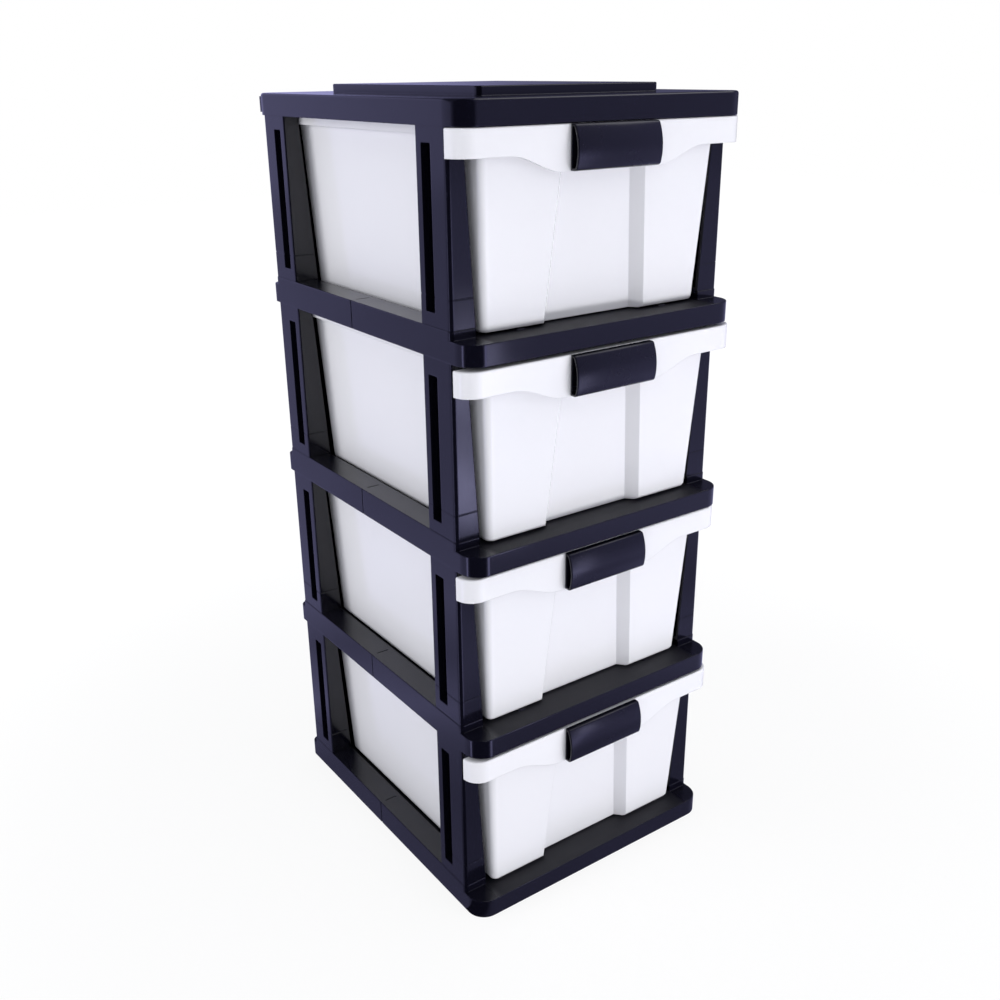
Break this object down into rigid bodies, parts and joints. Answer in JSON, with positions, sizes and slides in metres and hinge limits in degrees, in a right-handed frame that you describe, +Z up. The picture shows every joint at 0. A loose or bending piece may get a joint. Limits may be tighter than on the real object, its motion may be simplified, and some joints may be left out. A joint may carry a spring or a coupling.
{
  "type": "letter tray stack with drawers",
  "caption": "Stacked black shelves on slotted corner posts, each holding a tapered white drawer with an arched black grip, under a flat cover.",
  "frame": {"origin": "centre of the bounding box's underside, on the floor, with the drawers as shown (the first and third stand 4 mm open)", "axes": "+Z up, the row's longest extent; +Y towards the rear; the drawers slide out along -Y; +X to the right as seen from the front"},
  "size_m": [0.306, 0.369, 0.7627],
  "materials": {
    "shelf_black": "glossy",
    "cover_black": "glossy",
    "post_black": "glossy",
    "back_black": "satin",
    "drawer_white": "semi-gloss",
    "handle_black": "semi-gloss"
  },
  "bodies": {
    "frame": {"base": "shelf_black", "shelf_2": "shelf_black", "shelf_3": "shelf_black", "shelf_4": "shelf_black", "cover": "cover_black", "post_1_front_left": "post_black", "post_1_front_right": "post_black", "post_1_rear_left": "post_black", "post_1_rear_right": "post_black", "post_2_front_left": "post_black", "post_2_front_right": "post_black", "post_2_rear_left": "post_black", "post_2_rear_right": "post_black", "post_3_front_left": "post_black", "post_3_front_right": "post_black", "post_3_rear_left": "post_black", "post_3_rear_right": "post_black", "post_4_front_left": "post_black", "post_4_front_right": "post_black", "post_4_rear_left": "post_black", "post_4_rear_right": "post_black", "back_1": "back_black", "back_2": "back_black", "back_3": "back_black", "back_4": "back_black"},
    "drawer_unit_1": {"drawer_1": "drawer_white", "handle_1": "handle_black"},
    "drawer_unit_2": {"drawer_2": "drawer_white", "handle_2": "handle_black"},
    "drawer_unit_3": {"drawer_3": "drawer_white", "handle_3": "handle_black"},
    "drawer_unit_4": {"drawer_4": "drawer_white", "handle_4": "handle_black"}
  },
  "joints": [
    {"name": "drawer_1_slide", "type": "slide", "parent": "frame", "child": "drawer_unit_1", "axis": [0, -1, 0], "range_m": [-0.004, 0.246]},
    {"name": "drawer_2_slide", "type": "slide", "parent": "frame", "child": "drawer_unit_2", "axis": [0, -1, 0], "range_m": [0, 0.25]},
    {"name": "drawer_3_slide", "type": "slide", "parent": "frame", "child": "drawer_unit_3", "axis": [0, -1, 0], "range_m": [-0.004, 0.246]},
    {"name": "drawer_4_slide", "type": "slide", "parent": "frame", "child": "drawer_unit_4", "axis": [0, -1, 0], "range_m": [0, 0.25]}
  ]
}
